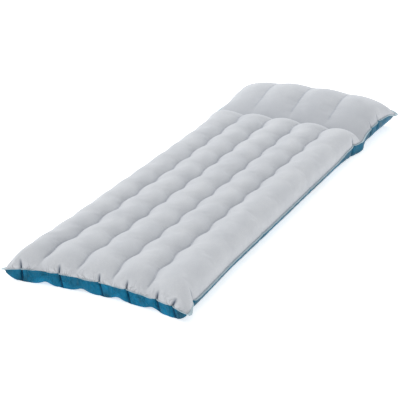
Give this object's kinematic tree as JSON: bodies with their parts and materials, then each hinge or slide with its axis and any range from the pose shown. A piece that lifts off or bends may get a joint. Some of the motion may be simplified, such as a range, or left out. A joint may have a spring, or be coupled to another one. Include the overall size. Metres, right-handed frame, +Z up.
{
  "type": "air mattress",
  "caption": "Single inflatable camping mattress with long lobes, a raised built-in pillow and a screw-out air valve at the pillow's end.",
  "frame": {"origin": "bottom centre of the inflated mattress, on the ground", "axes": "+Y along the length from the foot end to the pillow, +X to the sleeper's right when lying face up with the head on the pillow, seen from above from the foot end, +Z up"},
  "size_m": [0.67, 1.84, 0.155],
  "materials": {
    "flocked_vinyl": "matte",
    "blue_vinyl": "satin",
    "beam_vinyl": "satin",
    "valve_plastic": "satin",
    "insert_plastic": "satin",
    "cap_plastic": "gloss",
    "seal_rubber": "satin"
  },
  "bodies": {
    "mattress": {"top_sheet": "flocked_vinyl", "bottom_sheet": "blue_vinyl", "cross_beam": "beam_vinyl", "wave_beam_1": "beam_vinyl", "wave_beam_2": "beam_vinyl", "wave_beam_3": "beam_vinyl", "wave_beam_4": "beam_vinyl", "pillow_beam_1": "beam_vinyl", "pillow_beam_2": "beam_vinyl", "pillow_beam_3": "beam_vinyl", "valve_base": "valve_plastic"},
    "gasket": {"valve_gasket": "seal_rubber"},
    "insert": {"valve_insert": "insert_plastic"},
    "flap": {"valve_flap": "seal_rubber"},
    "tether": {"tether_ring": "cap_plastic", "cap_strap": "cap_plastic"},
    "cap": {"valve_cap": "cap_plastic"}
  },
  "joints": [
    {"name": "insert_lift", "type": "slide", "parent": "mattress", "child": "gasket", "axis": [0, 1, 0], "range_m": [0, 0.009]},
    {"name": "insert_turn", "type": "hinge", "parent": "gasket", "child": "insert", "pos_m": [-0.08, 0.91, 0.05], "axis": [0, 1, 0], "range_deg": [0, 810.5]},
    {"name": "flap_open", "type": "slide", "parent": "insert", "child": "flap", "axis": [0, -1, 0], "range_m": [0, 0.0028], "stiffness_N_per_m": 30, "springref_m": -0.001},
    {"name": "tether_swivel", "type": "hinge", "parent": "insert", "child": "tether", "pos_m": [-0.08, 0.91, 0.05], "axis": [0, 1, 0], "continuous": true},
    {"name": "cap_pull", "type": "slide", "parent": "tether", "child": "cap", "axis": [0, 1, 0], "range_m": [0, 0.012], "deforming": ["cap_strap"]}
  ],
  "couplings": [
    {"joint": "insert_turn", "follows": "insert_lift", "rad_per_m": 1570.8}
  ]
}
